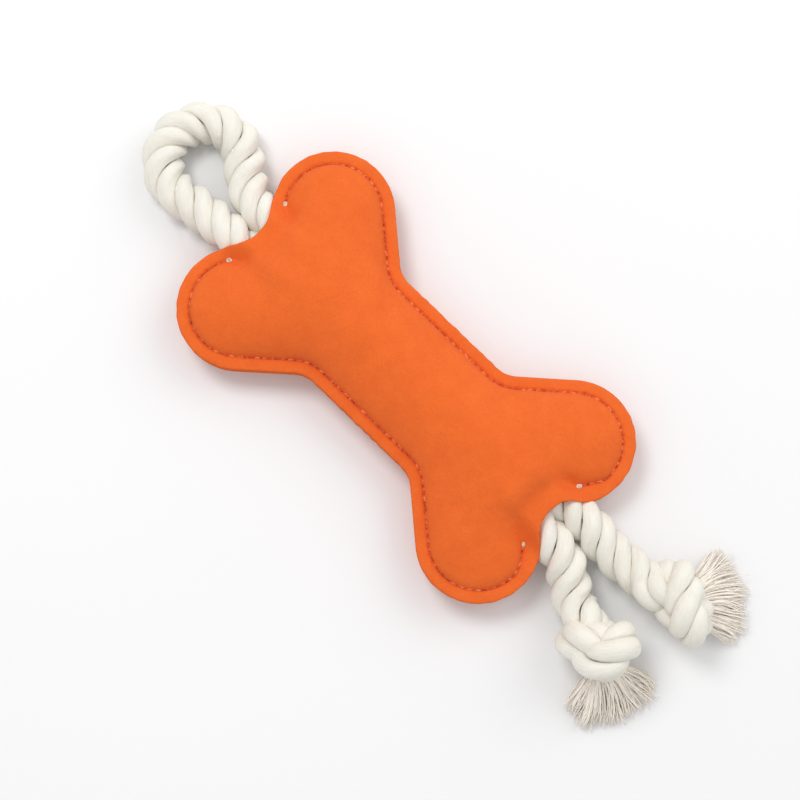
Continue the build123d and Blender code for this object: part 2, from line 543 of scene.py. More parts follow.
# How it is pulled tight
KNOT_ROUNDS = 3200
LENGTH_ROUNDS = 4
NEAR_ALONG = 1.7
END_PULL = 0.01
PUSH_SHARE = 0.4
PUSH_GAIN = 1.6
KNOT_SMOOTHING = 0.10
KNOT_STRETCH = 1.02
END_CENTRING = 0.98

# The part of it that is used, every few points, and its height above the floor
KNOT_HALF_LENGTH = 1.5
KNOT_EVERY = 3
FLOOR_GAP = 0.5


def overhand_start():
    """A loose overhand knot along X, by a polynomial, for a rope 1 thick."""
    t = np.linspace(-KNOT_REACH, KNOT_REACH, KNOT_SAMPLES)
    x = KNOT_LENGTH * (t**5 - 10 * t)
    y = -KNOT_WIDTH * (t**3 - 3 * t)
    z = KNOT_HEIGHT * (t**4 - 4 * t**2)
    loose = np.stack([x, y, z], 1)
    loose[:, 2] -= loose[:, 2].mean()
    even, _ = resample(loose, KNOT_STEP)
    return even


def keep_lengths(points, step):
    """Pulls neighbouring points back to one step apart."""
    for parity in (0, 1):
        a = points[parity:-1:2]
        b = points[parity + 1 :: 2]
        count = min(len(a), len(b))
        along = b[:count] - a[:count]
        length = np.linalg.norm(along, axis=1, keepdims=True)
        shift = along * (1 - step / length) * 0.5
        points[parity : parity + 2 * count : 2] += shift
        points[parity + 1 : parity + 1 + 2 * count : 2] -= shift


def tie_knot():
    """Pulls the loose knot tight: points push apart at one rope thickness."""
    points = overhand_start()
    step = np.linalg.norm(np.diff(points, axis=0), axis=1).mean()
    first, second = np.triu_indices(len(points), int(NEAR_ALONG / KNOT_STEP))
    outward = END_PULL * np.sign(points[-1, 0] - points[0, 0])
    for _ in range(KNOT_ROUNDS):
        gap = points[first] - points[second]
        distance = np.linalg.norm(gap, axis=1)
        hit = distance < 1
        push = gap[hit] * (PUSH_SHARE * (1 - distance[hit]) / distance[hit])[:, None]
        moved = np.zeros_like(points)
        touches = np.zeros(len(points))
        np.add.at(moved, first[hit], push)
        np.add.at(moved, second[hit], -push)
        np.add.at(touches, first[hit], 1)
        np.add.at(touches, second[hit], 1)
        points += PUSH_GAIN * moved / np.maximum(touches, 1)[:, None]
        between = 0.5 * (points[:-2] + points[2:])
        points[1:-1] += KNOT_SMOOTHING * (between - points[1:-1])
        if np.linalg.norm(np.diff(points, axis=0), axis=1).mean() < KNOT_STRETCH * step:
            points[0, 0] -= outward
            points[-1, 0] += outward
        points[0, 1:] *= END_CENTRING
        points[-1, 1:] *= END_CENTRING
        for _ in range(LENGTH_ROUNDS):
            keep_lengths(points, step)
    if points[0, 0] > points[-1, 0]:
        points = points[::-1]
    middle = 0.5 * (points[0, 0] + points[-1, 0])
    core = points[np.abs(points[:, 0] - middle) < KNOT_HALF_LENGTH]
    return core - 0.5 * (core.min(axis=0) + core.max(axis=0))


def knot_turns(tight, centre, heading, roll):
    """The knot's turns as control points: along heading, rolled about it."""
    angle = math.radians(heading)
    along = Vector((math.cos(angle), math.sin(angle), 0))
    turn = Matrix.Rotation(math.radians(roll), 3, along)
    side = turn @ Vector((-math.sin(angle), math.cos(angle), 0))
    up = turn @ Vector((0, 0, 1))
    turns = []
    for x, y, z in (tight[::KNOT_EVERY] * KNOT_SPACING).tolist():
        turns.append(x * along + y * side + z * up)
    lowest = min(point.z for point in turns)
    shift = Vector((*centre, 0.5 * KNOT_ROPE + FLOOR_GAP - lowest))
    return [tuple(point + shift) for point in turns]


# ---- frayed ends

FRAY_LOCKS = 17
YARNS_PER_LOCK = 30
FIBRES_PER_LOCK = 26
FIBRE_SIDES = 5
FIBRE_STEPS = 10
FRAY_BASE = 5.5
YARN_RADII = (0.24, 0.38)
FIBRE_RADIUS = 0.13
TIP_TAPER = 0.6

# What each lock draws at random: lean, length, sweep and wave
LOCK_LEAN = 4
LOCK_LENGTHS = (0.84, 1.06)
LOCK_SWEEPS = (0.4, 1.5)
LOCK_WAVES = (0.2, 0.9)

# How far single fibres stray from their lock
LOCK_BLUR = 0.42
ROOT_BLUR = 0.6
LEAN_BLUR = 3.2
BEND_BLUR = 7
WAVE_BLUR = 0.12
PHASE_BLUR = 0.5
FIBRE_LENGTHS = (0.78, 1.04)
SIDE_LOSS = 0.15

# Heights of the lowest and highest fibres at root and tip, and how they drop
ROOT_HEIGHTS = (1.0, 9.0)
TIP_HEIGHTS = (0.5, 3.9)
LOWEST_FIBRE = 0.4
DROP_POWER = 1.4
RIPPLES = 5


def frayed_end(name, root, centre_angle, spread, reach, sweep, material, seed):
    """A mat of loose yarns in locks, fanning out from a rope's cut end."""
    draw = np.random.default_rng(seed)
    middle = math.radians(centre_angle)
    base = FRAY_BASE * np.array((-math.sin(middle), math.cos(middle), 0))
    parts = []
    for lock in range(FRAY_LOCKS):
        lean = draw.normal(0, LOCK_LEAN)
        length = reach * draw.uniform(*LOCK_LENGTHS)
        bend = sweep * draw.uniform(*LOCK_SWEEPS) + draw.normal(0, BEND_BLUR)
        wave = draw.uniform(*LOCK_WAVES)
        phase = draw.uniform(0, 2 * math.pi)
        for number in range(YARNS_PER_LOCK + FIBRES_PER_LOCK):
            share = -1 + 2 * (lock + 0.5 + draw.normal(0, LOCK_BLUR)) / FRAY_LOCKS
            level = draw.uniform(0, 1)
            line = fibre_line(
                np.array(root) + share * base + draw.normal(0, ROOT_BLUR, 3),
                centre_angle + spread * share + lean + draw.normal(0, LEAN_BLUR),
                length * (1 - SIDE_LOSS * share * share) * draw.uniform(*FIBRE_LENGTHS),
                level,
                bend + draw.normal(0, BEND_BLUR),
                wave + draw.normal(0, WAVE_BLUR),
                phase + draw.normal(0, PHASE_BLUR),
            )
            is_yarn = number < YARNS_PER_LOCK
            radius = draw.uniform(*YARN_RADII) if is_yarn else FIBRE_RADIUS
            taper = 1 - TIP_TAPER * np.linspace(0, 1, FIBRE_STEPS) ** 2
            parts.append(tube(line, radius, FIBRE_SIDES, taper))
    return joined(name, parts, material)


def fibre_line(start, lean, length, level, bend, wave, phase):
    """One fibre from the rope's end outwards, turning by bend as it goes."""
    point = start.copy()
    line = []
    step = length / (FIBRE_STEPS - 1)
    root_height = np.interp(level, (0, 1), ROOT_HEIGHTS)
    tip_height = np.interp(level, (0, 1), TIP_HEIGHTS)
    for k in range(FIBRE_STEPS):
        share = k / (FIBRE_STEPS - 1)
        angle = math.radians(lean + bend * (0.5 - share) * 2)
        ripple = wave * math.sin(phase + RIPPLES * share) * share
        drop = share**DROP_POWER
        height = root_height * (1 - drop) + tip_height * drop
        x = point[0] - ripple * math.sin(angle)
        y = point[1] + ripple * math.cos(angle)
        line.append((x, y, max(height, LOWEST_FIBRE)))
        point = point + step * np.array((math.cos(angle), math.sin(angle), 0))
    return line


# ---- loop and tails

# Up to the knots the same points as in part.py, and the stretches inside the mouths
LOOP_ROUTE = [
    (-60.0, 6.0, 11.0),
    (-68.0, 5.8, 11.2),
    (-73.0, 5.6, 11.0),
    (-79.0, 6.8, 10.0),
    (-86.8, 11.0, 8.2),
    (-94.7, 18.2, 6.9),
    (-103.1, 19.4, 6.8),
    (-110.8, 15.7, 6.7),
    (-115.0, 8.4, 6.7),
    (-114.6, 0.1, 6.7),
    (-109.6, -6.4, 6.7),
    (-101.6, -9.5, 6.8),
    (-90.5, -7.4, 7.6),
    (-79.0, -6.6, 10.0),
    (-70.0, -6.0, 11.2),
    (-60.0, -6.0, 11.0),
]
LEFT_TAIL_ROUTE = [
    (60.0, -5.5, 11.0),
    (69.0, -4.4, 11.8),
    (79.0, -6.8, 11.0),
    (85.2, -10.2, 9.6),
    (90.8, -14.2, 9.2),
    (96.2, -16.8, 10.6),
]
RIGHT_TAIL_ROUTE = [
    (60.0, 6.0, 11.0),
    (70.0, 6.6, 11.0),
    (79.0, 6.6, 10.4),
    (87.0, 5.4, 8.8),
    (95.2, 5.7, 9.0),
    (103.6, 6.8, 11.4),
]

# Each knot: its centre, its heading and its roll about that, in degrees
LEFT_KNOT = ((108.0, -20.0), -25, 240)
RIGHT_KNOT = ((117.8, 9.2), 42, 345)

# Where each tail ends, under its knot
LEFT_END = [(115.4, -21.8, 12.0), (115.8, -24.2, 6.5)]
RIGHT_END = [(122.4, 11.6, 11.0), (121.8, 13.4, 6.5)]

# Each frayed end: the way that it points, its spread, its length and its sweep
LEFT_FRAY = (-27, 44, 18, 8)
RIGHT_FRAY = (50, 38, 18, 16)

# Where the rope's thickness changes, as distances along it
MOUTH_STRETCH = 8
LOOP_FREE = 24
TAIL_FREE = 22
KNOT_LEAD_IN = 6
END_TAPER = 14

LEFT_LEAN = -0.004

LOOP_SEED = 1
FRAY_SEED = 20

# Each tail: its side, route, knot, end, fray, lean and seed
TAILS = [
    ("left", LEFT_TAIL_ROUTE, LEFT_KNOT, LEFT_END, LEFT_FRAY, LEFT_LEAN, 2),
    ("right", RIGHT_TAIL_ROUTE, RIGHT_KNOT, RIGHT_END, RIGHT_FRAY, 0, 3),
]


def make_loop(rope):
    """The carrying loop, out of the mouth and back into it."""
    line = nurbs_line(LOOP_ROUTE, "loop_line")
    whole = route_length(line)
    steps = [
        (MOUTH_STRETCH, MOUTH_ROPE),
        (LOOP_FREE, FREE_ROPE),
        (whole - LOOP_FREE, FREE_ROPE),
        (whole - MOUTH_STRETCH, MOUTH_ROPE),
    ]
    size = swelling(steps)
    piece, centre = rope_strands("rope_loop_strands", line, size, rope, LOOP_SEED)
    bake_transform(piece)
    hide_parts("rope_loop")


def make_tail(side, route, knot, end, fray, lean, seed, tight, rope, frayed):
    """One tail: its free stretch, its knot and its frayed end."""
    turns = knot_turns(tight, *knot)[:-1] + end
    line = nurbs_line(route + turns, f"{side}_line")
    free = route_length(route)
    whole = route_length(line)
    steps = [
        (MOUTH_STRETCH, MOUTH_ROPE),
        (TAIL_FREE, FREE_ROPE),
        (free - KNOT_LEAD_IN, FREE_ROPE),
        (free + MOUTH_STRETCH, KNOT_ROPE),
        (whole - END_TAPER, KNOT_ROPE),
        (whole, END_ROPE),
    ]
    size = swelling(steps)
    piece, centre = rope_strands(f"rope_tail_{side}_strands", line, size, rope, seed)
    body = f"tail_{side}"
    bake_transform(piece)
    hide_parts(f"rope_tail_{side}", f"knot_{side}")
    brush = frayed_end(f"fray_{side}", centre[-1], *fray, frayed, seed + FRAY_SEED)
    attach(brush, body)
    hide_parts(f"frayed_end_{side}")


def make_ropes(rope, frayed):
    """The loop and the two tails, as cords."""
    make_loop(rope)
    tight = tie_knot()
    for tail in TAILS:
        make_tail(*tail, tight, rope, frayed)


# ---- bone outline

# Beyond this share of a lobe's radius only the lobes themselves are felt
TIP_SHARE = 0.7


def arc_points(centre, radius, start, size, step):
    """Points along a plane arc that starts at an angle and turns by size degrees."""
    count = max(2, int(abs(math.radians(size)) * abs(radius) / step) + 1)
    angles = np.radians(np.linspace(start, start + size, count))
    return np.array(centre) + radius * np.stack([np.cos(angles), np.sin(angles)], 1)


def straight_points(start, end, step):
    """Points along a plane line."""
    start, end = np.asarray(start), np.asarray(end)
    count = max(2, int(np.linalg.norm(end - start) / step) + 1)
    share = np.linspace(0, 1, count)[:, None]
    return start * (1 - share) + end * share


def side_points(inset, start_angle, step):
    """A quarter's lobe, flare, waist and half shaft, moved inwards by inset."""
    lobe_arc = LOBE_RADIUS - inset
    waist_arc = WAIST_RADIUS + inset
    lobe = arc_points(LOBE, lobe_arc, start_angle, FLARE_ANGLE - start_angle, step)
    waist = arc_points(WAIST, waist_arc, FLARE_ANGLE - 180, 90 - FLARE_ANGLE, step)
    flare = straight_points(lobe[-1], waist[0], step)
    shaft = straight_points(waist[-1], (0, SHAFT_HALF_WIDTH - inset), step)
    return np.concatenate([lobe, flare[1:], waist[1:], shaft[1:]])


def outline_points(inset, step):
    """The closed outline moved inwards by inset, at even steps."""
    turn = NOTCH_ANGLE - 180
    notch = arc_points((NOTCH_X, 0), NOTCH_RADIUS + inset, 180, turn, FINE_STEP)
    quarter = np.concatenate([notch, side_points(inset, turn, FINE_STEP)[1:]])
    half = np.concatenate([quarter, (quarter * (-1, 1))[::-1][1:]])
    whole = np.concatenate([half, (half * (1, -1))[::-1][1:-1]])
    even, _ = resample(np.concatenate([whole, whole[:1]]), step)
    return even[:-1]


def drawn_in(points, inset):
    """Plan points moved inwards at the tail end, where the ropes draw the felt in.

    The seam's ends are drawn in with the mouth, and the felt's edge only between them.
    """
    x, y = points[:, 0], points[:, 1]
    reach = MOUTH_HALF_WIDTH + DRAWN_FADE * np.minimum(inset / SEAM_INSET, 1)
    beside = smooth_step((reach - np.abs(y)) / DRAWN_FADE)
    share = beside * smooth_step((x - LOBE[0] + LOBE_RADIUS) / LOBE_RADIUS)
    return np.column_stack([x - DRAWN_IN * share, y])


def seam_points(side, step):
    """One seam's line on the plane, from tack to tack, at even steps."""
    quarter = side_points(SEAM_INSET, TACK_ANGLE, FINE_STEP)
    half = np.concatenate([quarter, (quarter * (-1, 1))[::-1][1:]])
    even, _ = resample(drawn_in(half * (1, side), SEAM_INSET), step)
    return even


def inside_bone(x, y):
    """Whether a point is inside the outline."""
    x, y = abs(x), abs(y)
    if math.hypot(x - LOBE[0], y - LOBE[1]) < LOBE_RADIUS:
        return True
    if math.hypot(x - NOTCH_X, y) < NOTCH_RADIUS or x > LOBE[0] + TIP_SHARE * LOBE_RADIUS:
        return False
    if y < SHAFT_HALF_WIDTH:
        return True
    angle = math.radians(FLARE_ANGLE)
    across = x * math.cos(angle) + y * math.sin(angle)
    limit = LOBE[0] * math.cos(angle) + LOBE[1] * math.sin(angle) + LOBE_RADIUS
    beside_lobe = WAIST_X < x < LOBE[0] and y < LOBE[1] + LOBE_RADIUS
    off_waist = math.hypot(x - WAIST[0], y - WAIST[1]) > WAIST_RADIUS
    return beside_lobe and across < limit and off_waist


def plan_tree(points):
    """A search tree over points on the plan."""
    tree = KDTree(len(points))
    for number, (x, y) in enumerate(points):
        tree.insert((x, y, 0), number)
    tree.balance()
    return tree


def inset_finder():
    """A function giving how far points lie inside the outline."""
    tree = plan_tree(outline_points(0, EDGE_STEP))
    return lambda x, y: tree.find((x, y, 0))[2]


# ---- flat pattern

# Rings of points round the pattern: (inset, spacing); the seam's are from the seam line
EDGE_RINGS = [(0.0, 0.8), (0.25, 0.8), (0.8, 1.0), (1.8, 1.4), (2.8, 1.2)]
SEAM_RINGS = [
    (-0.9, 0.8), (-0.5, 0.6), (-0.22, 0.55), (0.0, 0.55), (0.22, 0.55), (0.5, 0.6),
    (0.95, 0.8), (1.7, 1.1), (2.7, 1.5), (4.0, 1.8), (5.6, 2.0),
]
RINGS = EDGE_RINGS + [(SEAM_INSET + offset, step) for offset, step in SEAM_RINGS]
INNER_GRID = 2.1
GRID_CLEARANCE = 0.8


def inside_grid():
    """Hexagonally spaced points well inside the bone."""
    far = RINGS[-1][0] + GRID_CLEARANCE * INNER_GRID
    inset = inset_finder()
    found = []
    row_height = INNER_GRID * math.sqrt(3) / 2
    rows = int((LOBE[1] + LOBE_RADIUS) / row_height) + 1
    columns = int((LOBE[0] + LOBE_RADIUS) / INNER_GRID) + 1
    for row in range(-rows, rows + 1):
        for column in range(-columns, columns + 1):
            x = (column + 0.5 * (row % 2)) * INNER_GRID
            y = row * row_height
            if inside_bone(x, y) and inset(x, y) > far:
                found.append((x, y))
    return np.array(found)


def felt_plan():
    """The panel's flat pattern as points, triangles and insets."""
    layers = [outline_points(inset, step) for inset, step in RINGS]
    insets = [np.full(len(layer), inset) for layer, (inset, _) in zip(layers, RINGS)]
    grid = inside_grid()
    finder = inset_finder()
    deep = np.array([finder(x, y) for x, y in grid])
    points = np.concatenate(layers + [grid])
    count = len(layers[0])
    edge = [(k, (k + 1) % count) for k in range(count)]
    got = delaunay_2d_cdt([Vector(p) for p in points.tolist()], edge, [], 1, 1e-5)
    where, triangles, origins = got[0], got[2], got[3]
    source = [old[0] for old in origins]
    flat = np.array([tuple(p) for p in where])
    insets = np.concatenate([*insets, deep])[source]
    return drawn_in(flat, insets), np.array([tuple(t) for t in triangles]), insets


# ---- stuffed crown

MEMBRANE_ROUNDS = 600
CROWN_POWER = 0.66
TOUCH = 0.01
CLOTH_SCALE = 0.01
CLOTH_FRAMES = 20
CLOTH_PRESSURE = 4.0
CLOTH_START = 0.8


def membrane(points, triangles, held):
    """Heights of a stretched membrane under even pressure, held at some points."""
    a, b, c = (points[triangles[:, k]] for k in range(3))
    area = 0.5 * np.abs(np.cross(b - a, c - a))
    rows, columns, weights = [], [], []
    for i, j, k in ((0, 1, 2), (1, 2, 0), (2, 0, 1)):
        p, q, r = points[triangles[:, i]], points[triangles[:, j]], points[triangles[:, k]]
        u, v = p - r, q - r
        weight = 0.5 * (u * v).sum(1) / np.maximum(np.abs(np.cross(u, v)), 1e-9)
        rows.append(triangles[:, i])
        columns.append(triangles[:, j])
        weights.append(np.clip(weight, 0.01, 10))
    rows, columns, weights = map(np.concatenate, (rows, columns, weights))
    total = len(points)
    mass = np.zeros(total)
    for k in range(3):
        np.add.at(mass, triangles[:, k], area / 3)
    diagonal = np.bincount(rows, weights, total) + np.bincount(columns, weights, total)
    free = ~held

    def stiffness(height):
        return (
            diagonal * height
            - np.bincount(rows, weights * height[columns], total)
            - np.bincount(columns, weights * height[rows], total)
        )

    height = np.zeros(total)
    residual = np.where(free, mass, 0)
    search = residual / diagonal
    energy = residual @ search
    for _ in range(MEMBRANE_ROUNDS):
        pulled = np.where(free, stiffness(search), 0)
        share = energy / (search @ pulled)
        height += share * search
        residual -= share * pulled
        if np.abs(residual).max() < 1e-5:
            break
        scaled = residual / diagonal
        renewed = residual @ scaled
        search = scaled + (renewed / energy) * search
        energy = renewed
    return height


def crown_profile(points, triangles, insets):
    """Height of the puffed middle above the flange, from 0 to 1 at its top."""
    held = insets <= SEAM_INSET + 1e-6
    pressed = membrane(points, triangles, held)
    return (pressed / pressed.max()) ** CROWN_POWER


def cloth_body(vertices, skin, rim):
    """A closed body with Blender's Cloth under pressure, held along its rim."""
    mesh = bpy.data.meshes.new("stuffed_body")
    mesh.from_pydata((vertices * CLOTH_SCALE).tolist(), [], skin)
    mesh.update()
    body = bpy.data.objects.new("stuffed_body", mesh)
    bpy.context.collection.objects.link(body)
    pins = body.vertex_groups.new(name="seam")
    pins.add(rim.tolist(), 1.0, "REPLACE")
    cloth = body.modifiers.new("felt", "CLOTH")
    settings = cloth.settings
    settings.quality = 6
    settings.mass = 0.4
    settings.tension_stiffness = 18
    settings.compression_stiffness = 18
    settings.shear_stiffness = 10
    settings.bending_stiffness = 2.0
    settings.tension_damping = 15
    settings.compression_damping = 15
    settings.air_damping = 6
    settings.use_pressure = True
    settings.uniform_pressure_force = CLOTH_PRESSURE
    settings.vertex_group_mass = "seam"
    settings.effector_weights.gravity = 0
    cloth.collision_settings.use_collision = False
    cloth.point_cache.frame_start = 1
    cloth.point_cache.frame_end = CLOTH_FRAMES
    return body


def stuffed_crowns(plan, crown):
    """Both panels blown up as cloth by the filling, held along the seam.
    """
    points, triangles, insets = plan
    inner = (insets > SEAM_INSET - TOUCH)[triangles].all(axis=1)
    faces = triangles[inner]
    used = np.unique(faces)
    number = np.full(len(points), -1)
    number[used] = np.arange(len(used))
    faces = number[faces]
    rim = insets[used] < SEAM_INSET + TOUCH
    under = np.where(rim, np.arange(len(used)), len(used) + np.cumsum(~rim) - 1)
    puff = CLOTH_START * CROWN * crown[used]
    top = np.column_stack([points[used], puff])
    bottom = np.column_stack([points[used], -puff])[~rim]
    skin = faces.tolist() + under[faces[:, ::-1]].tolist()
    body = cloth_body(np.concatenate([top, bottom]), skin, np.flatnonzero(rim))
    scene = bpy.context.scene
    for step in range(1, CLOTH_FRAMES + 1):
        scene.frame_set(step)
    done = body.evaluated_get(bpy.context.evaluated_depsgraph_get())
    settled = np.array([tuple(v.co) for v in done.data.vertices]) / CLOTH_SCALE
    bpy.data.objects.remove(body)
    scene.frame_set(1)
    crowns = {}
    for direction, row in ((1, np.arange(len(used))), (-1, under)):
        height = np.abs(settled[row, 2])
        shape = np.zeros(len(points))
        shape[used] = height / height.max()
        crowns[direction] = shape
    return crowns


# ---- felt surfaces

# The pulled-in seam line and its needle holes
SEAM_WIDTH = 0.6
SEAM_DEPTH = 0.45
HOLE_RADIUS = 0.62
HOLE_DEPTH = 0.85
HOLE_REACH = 1.4
HOLE_SHARES = (0.35, 1.0)
HOLE_SEED = 23

# The arch over the ropes at a mouth, the soft felt there and its unsewn edge
ARCH_HALF_WIDTH = MOUTH_HALF_WIDTH + 0.6
ARCH_SLOPE = 8.5
ARCH_START = 40
ARCH_FADE = 14
SOFT_HALF_WIDTH = MOUTH_HALF_WIDTH + 1.5
SOFT_SLOPE = 5
SOFT_START = LOBE[0] - 14
SOFT_FADE = 10
SOFT_INSET = SEAM_INSET - 1.2
SOFT_DEPTH = 8
UNSEWN_HALF_WIDTH = MOUTH_HALF_WIDTH + 0.3

# The ridge over the ropes along the bone
ROPE_RIDGE = 0.8
RIDGE_WIDTH = 10
RIDGE_HALF_LENGTH = 62
RIDGE_FADE = 14

# How two heights join: a higher power fills in less where they meet
HEIGHT_POWER = 1.7

# Cut edge, unevenness and lumps
EDGE_ROUND = 0.45
EDGE_ROUND_WIDTH = 0.3
CUT_EDGE = 0.10
FLANGE_WAVE = 0.55
LUMP_HEIGHT = 0.35
FINE_HEIGHT = 0.12
LUMP_FADE = 4

# The lower panel, pressed flat where the bone rests
FLATTENING = 2.2
UNDER_RISE = 0.8
UNDER_LUMPS = 0.4
LOWEST_FELT = 0.02

# Smooth random fields: (seed, size of the waves)
flange_wave = wave_field(3, 70)
lump_wave = wave_field(11, 24)
fine_wave = wave_field(19, 9)
edge_wave = wave_field(31, 5)


def stitch_dimples(points):
    """How deep each point lies in a needle hole, 0 to 1."""
    depth = np.zeros(len(points))
    tree = plan_tree(points)
    draw = np.random.default_rng(HOLE_SEED)
    for side in (-1, 1):
        for x, y in seam_points(side, STITCH_PITCH):
            full = draw.uniform(*HOLE_SHARES)
            for _, number, distance in tree.find_range((x, y, 0), HOLE_REACH):
                dent = full * math.exp(-((distance / HOLE_RADIUS) ** 2))
                depth[number] = max(depth[number], dent)
    return depth


def mouth_rise(x, y):
    """How far the felt is lifted over the doubled rope, above the flange."""
    arch = smooth_step((ARCH_HALF_WIDTH - np.abs(y)) / ARCH_SLOPE)
    return MOUTH_RISE * arch * smooth_step((np.abs(x) - ARCH_START) / ARCH_FADE)


def mouth_softness(points, insets):
    """What is left of the crown near a rope mouth, where no seam pulls the felt in."""
    x, y = points[:, 0], points[:, 1]
    beside = smooth_step((SOFT_HALF_WIDTH - np.abs(y)) / SOFT_SLOPE)
    mouth = beside * smooth_step((np.abs(x) - SOFT_START) / SOFT_FADE)
    return 1 - mouth * (1 - smooth_step((insets - SOFT_INSET) / SOFT_DEPTH))


def seam_closeness(points, insets):
    """1 on a sewn seam, falling to 0 away from it and at the rope mouths."""
    x, y = points[:, 0], points[:, 1]
    at_mouth = (np.abs(y) < UNSEWN_HALF_WIDTH) & (np.abs(x) > LOBE[0])
    near = np.exp(-(((insets - SEAM_INSET) / SEAM_WIDTH) ** 2))
    return np.where(at_mouth, 0, near)


def flange_height(x, y):
    """Height of the seam plane, which is not quite flat."""
    return SEAM_HEIGHT + FLANGE_WAVE * flange_wave(x, y)


def rope_ridge(x, y):
    """A soft ridge of felt over the ropes that lie along the bone."""
    along = smooth_step((RIDGE_HALF_LENGTH - np.abs(x)) / RIDGE_FADE)
    return np.exp(-((y / RIDGE_WIDTH) ** 2)) * along


def joined_heights(a, b):
    """The larger of two heights, filled in where they meet."""
    return (np.maximum(a, 0) ** HEIGHT_POWER + b**HEIGHT_POWER) ** (1 / HEIGHT_POWER)


def panel_surface(plan, crown, upper):
    """The outer face of a panel, as heights over the flat pattern."""
    points, _, insets = plan
    x, y = points[:, 0], points[:, 1]
    seam = seam_closeness(points, insets)
    dimples = stitch_dimples(points)
    flange = FELT - EDGE_ROUND * np.exp(-insets / EDGE_ROUND_WIDTH)
    inside = np.clip((insets - SEAM_INSET) / LUMP_FADE, 0, 1)
    lumps = inside * (LUMP_HEIGHT * lump_wave(x, y) + FINE_HEIGHT * fine_wave(x, y))
    rise = mouth_rise(x, y)
    crown = crown * mouth_softness(points, insets)
    if upper:
        puff = CROWN * crown + ROPE_RIDGE * rope_ridge(x, y)
        lifted = joined_heights(puff, rise)
    else:
        pressed = (1 - np.exp(-FLATTENING * crown)) / (1 - math.exp(-FLATTENING))
        lifted = joined_heights(UNDER_CROWN * pressed, UNDER_RISE * rise)
        lumps = UNDER_LUMPS * lumps * (1 - crown)
    height = flange + lifted + lumps - SEAM_DEPTH * seam - HOLE_DEPTH * dimples
    middle = flange_height(x, y)
    if upper:
        return middle + height
    return np.maximum(middle - height, LOWEST_FELT)


def felt_panel(name, plan, height, upper, material):
    """A closed felt sheet: outer face, edge and inner face."""
    points, triangles, insets = plan
    uneven = CUT_EDGE * edge_wave(points[:, 0], points[:, 1])
    edge_out = np.where(insets < TOUCH, uneven, 0)
    outward = points / np.maximum(np.linalg.norm(points, axis=1, keepdims=True), 1)
    spread = points + outward * edge_out[:, None]
    vertices = np.column_stack([spread, height])
    faces = triangles if upper else triangles[:, ::-1]
    piece = mesh_object(name, vertices, faces.tolist(), material)
    shell = piece.modifiers.new("felt", "SOLIDIFY")
    shell.thickness = FELT * MM
    shell.offset = -1
    shell.use_even_offset = False
    return piece


def make_felt():
    """Both felt panels, with their pattern and the heights of their outer faces."""
    felt = felt_material()
    plan = felt_plan()
    crown = crown_profile(*plan)
    crowns = stuffed_crowns(plan, crown)
    faces = {way: panel_surface(plan, crowns[way], way > 0) for way in (1, -1)}
    top = felt_panel("upper_felt", plan, faces[1], True, felt)
    bottom = felt_panel("lower_felt", plan, faces[-1], False, felt)
    for piece, node in ((top, "top_panel"), (bottom, "bottom_panel")):
        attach(piece, "bone")
        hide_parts(node)
    return plan, faces


# ---- stitches and tacks

STITCH_POINTS = 9
STITCH_ARCH = 0.75
STITCH_DIP = 0.55
STITCH_GAP = 0.30
ARCH_POWER = 0.6
STITCH_LEAN = 0.16
STITCH_SEED = 5
THREAD_RADIUS = 0.31
THREAD_SHARES = (0.92, 1.08)

TACK_LIFT = 0.35
TACK_TURNS = 4
TACK_SEED = 40
TACK_THREAD = 0.26
TACK_SHANK = 0.4
SHANK_STEPS = 6
WINDING_STEPS = 26
WINDING_RADIUS = 0.62
WINDING_SWING = 0.30
WINDING_HEIGHT = 0.45

# Each tack: its end and side, which way those lie along X and Y, and its size
TACKS = [
    ("loop", "left", -1, -1, 1.0),
    ("loop", "right", -1, 1, 0.75),
    ("tail", "left", 1, -1, 0.7),
    ("tail", "right", 1, 1, 0.95),
]


def height_reader(plan, heights):
    """A function reading a panel's face height near a plan point."""
    tree = plan_tree(plan[0])

    def read(x, y):
        near = tree.find_n((x, y, 0), 3)
        weights = [1 / (distance + 0.05) for _, _, distance in near]
        total = sum(w * heights[number] for w, (_, number, _) in zip(weights, near))
        return total / sum(weights)

    return read


def stitch_line(start, end, read, direction):
    """One stitch from needle hole to needle hole, arched over the felt."""
    line = []
    for k in range(STITCH_POINTS):
        share = k / (STITCH_POINTS - 1)
        x = start[0] * (1 - share) + end[0] * share
        y = start[1] * (1 - share) + end[1] * share
        arch = STITCH_ARCH * math.sin(math.pi * share) ** ARCH_POWER - STITCH_DIP
        line.append((x, y, read(x, y) + direction * arch))
    return line


def make_stitches(plan, faces, thread):
    """The lockstitch along each side: needle thread above, bobbin thread below."""
    draw = np.random.default_rng(STITCH_SEED)
    for side, sign in (("left", -1), ("right", 1)):
        holes = seam_points(sign, STITCH_PITCH)
        for kind, direction in (("needle", 1), ("bobbin", -1)):
            read = height_reader(plan, faces[direction])
            parts = []
            for start, end in zip(holes[:-1], holes[1:]):
                along = (end - start) / np.linalg.norm(end - start)
                beside = np.array((-along[1], along[0]))
                lean = draw.normal(0, STITCH_LEAN)
                a = start + STITCH_GAP * along + lean * beside
                b = end - STITCH_GAP * along - lean * beside
                line = stitch_line(a, b, read, direction)
                radius = THREAD_RADIUS * draw.uniform(*THREAD_SHARES)
                parts.append(tube(line, radius, 8))
            piece = joined(f"{kind}_stitches_{side}", parts, thread)
            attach(piece, "bone")
            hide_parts(f"{kind}_thread_{side}")


